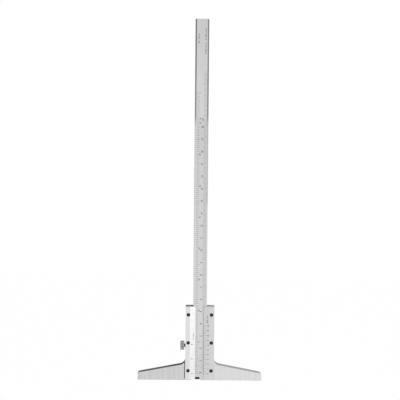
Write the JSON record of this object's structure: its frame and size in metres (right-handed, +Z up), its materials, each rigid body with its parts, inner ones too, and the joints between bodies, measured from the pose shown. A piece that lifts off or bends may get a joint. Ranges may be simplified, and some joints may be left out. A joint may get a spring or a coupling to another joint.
{
  "type": "vernier depth gauge",
  "caption": "T-shaped depth gauge: a graduated beam slides through a base with two bevelled vernier plates and locks with a knurled side screw.",
  "frame": {"origin": "centre of the base's measuring face, which the beam's tip is level with at zero", "axes": "+Z up along the beam, away from the measuring face; -Y is the side with the scales; +X along the base to the right of someone who reads the scales, +X carries the metric plate and -X the inch plate and the clamp"},
  "size_m": [0.101, 0.009, 0.2936],
  "materials": {
    "frame_steel": "fine-ground stainless steel, lapped measuring face",
    "beam_steel": "satin scale panel between two lapped rails",
    "plate_steel": "satin chromed steel",
    "screw_steel": "blackened steel",
    "stud_steel": "blackened steel, threaded",
    "knob_steel": "nickel-plated steel, straight knurl",
    "gib_bronze": "rolled phosphor bronze"
  },
  "bodies": {
    "base": {"base_frame": "frame_steel", "metric_vernier_plate": "plate_steel", "inch_vernier_plate": "plate_steel", "metric_plate_screw_lower": "screw_steel", "metric_plate_screw_middle": "screw_steel", "metric_plate_screw_upper": "screw_steel", "inch_plate_screw_lower": "screw_steel", "inch_plate_screw_middle": "screw_steel", "inch_plate_screw_upper": "screw_steel", "gib_screw_lower": "screw_steel", "gib_screw_upper": "screw_steel"},
    "beam": {"beam": "beam_steel"},
    "gib": {"gib_strip": "gib_bronze"},
    "clamp": {"clamp_knob": "knob_steel", "clamp_stud": "stud_steel"}
  },
  "joints": [
    {"name": "beam_slide", "type": "slide", "parent": "base", "child": "beam", "axis": [0, 0, -1], "range_m": [0, 0.2]},
    {"name": "gib_slide", "type": "slide", "parent": "base", "child": "gib", "axis": [-1, 0, 0], "range_m": [0, 0.00045]},
    {"name": "clamp_turn", "type": "hinge", "parent": "gib", "child": "clamp", "pos_m": [-0.0142, -0.00155, 0.02828], "axis": [-1, 0, 0], "range_deg": [0, 360]}
  ],
  "couplings": [
    {"joint": "clamp_turn", "follows": "gib_slide", "rad_per_m": 13963}
  ]
}
